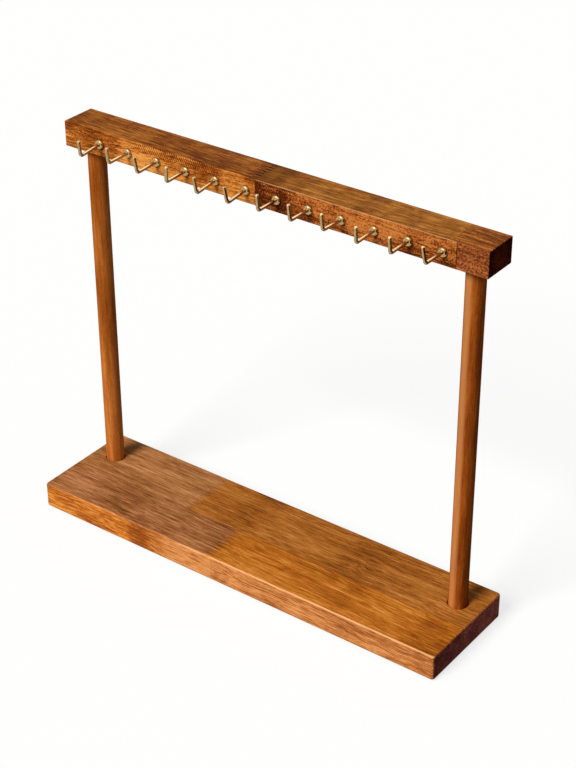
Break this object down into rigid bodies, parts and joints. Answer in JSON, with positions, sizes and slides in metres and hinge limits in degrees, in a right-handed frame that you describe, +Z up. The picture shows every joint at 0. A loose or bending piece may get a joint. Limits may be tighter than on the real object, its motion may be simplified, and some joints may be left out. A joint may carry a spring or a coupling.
{
  "type": "hanging jewellery stand",
  "caption": "Table-top jewellery stand: a long wooden base, two round posts and a beam with a row of brass hooks along its front.",
  "frame": {"origin": "middle of the base, on the surface that the pads stand on", "axes": "+X along the stand to the right as its user sees it, -Y the front, to which the hooks point, +Z up"},
  "size_m": [0.3508, 0.0872, 0.3061],
  "materials": {
    "base_wood": "oiled satin, finger-jointed and edge-glued hardwood staves",
    "beam_wood": "oiled satin, finger-jointed hardwood lengths",
    "post_wood": "oiled satin, turned hardwood",
    "hook_brass": "pale polished brass plating",
    "screw_steel": "zinc-plated steel",
    "pad_rubber": "matte black foam rubber"
  },
  "bodies": {
    "root": {"base_screw_left": "screw_steel", "base_screw_right": "screw_steel", "base_stave_back_left": "base_wood", "base_stave_back_right": "base_wood", "base_stave_front_left": "base_wood", "base_stave_front_right": "base_wood", "beam_left": "beam_wood", "beam_middle": "beam_wood", "beam_right_end": "beam_wood", "dowel_screw_left": "screw_steel", "dowel_screw_right": "screw_steel", "hook_01": "hook_brass", "hook_02": "hook_brass", "hook_03": "hook_brass", "hook_04": "hook_brass", "hook_05": "hook_brass", "hook_06": "hook_brass", "hook_07": "hook_brass", "hook_08": "hook_brass", "hook_09": "hook_brass", "hook_10": "hook_brass", "hook_11": "hook_brass", "hook_12": "hook_brass", "pad_back_left": "pad_rubber", "pad_back_right": "pad_rubber", "pad_front_left": "pad_rubber", "pad_front_right": "pad_rubber", "post_left": "post_wood", "post_right": "post_wood"}
  },
  "joints": []
}
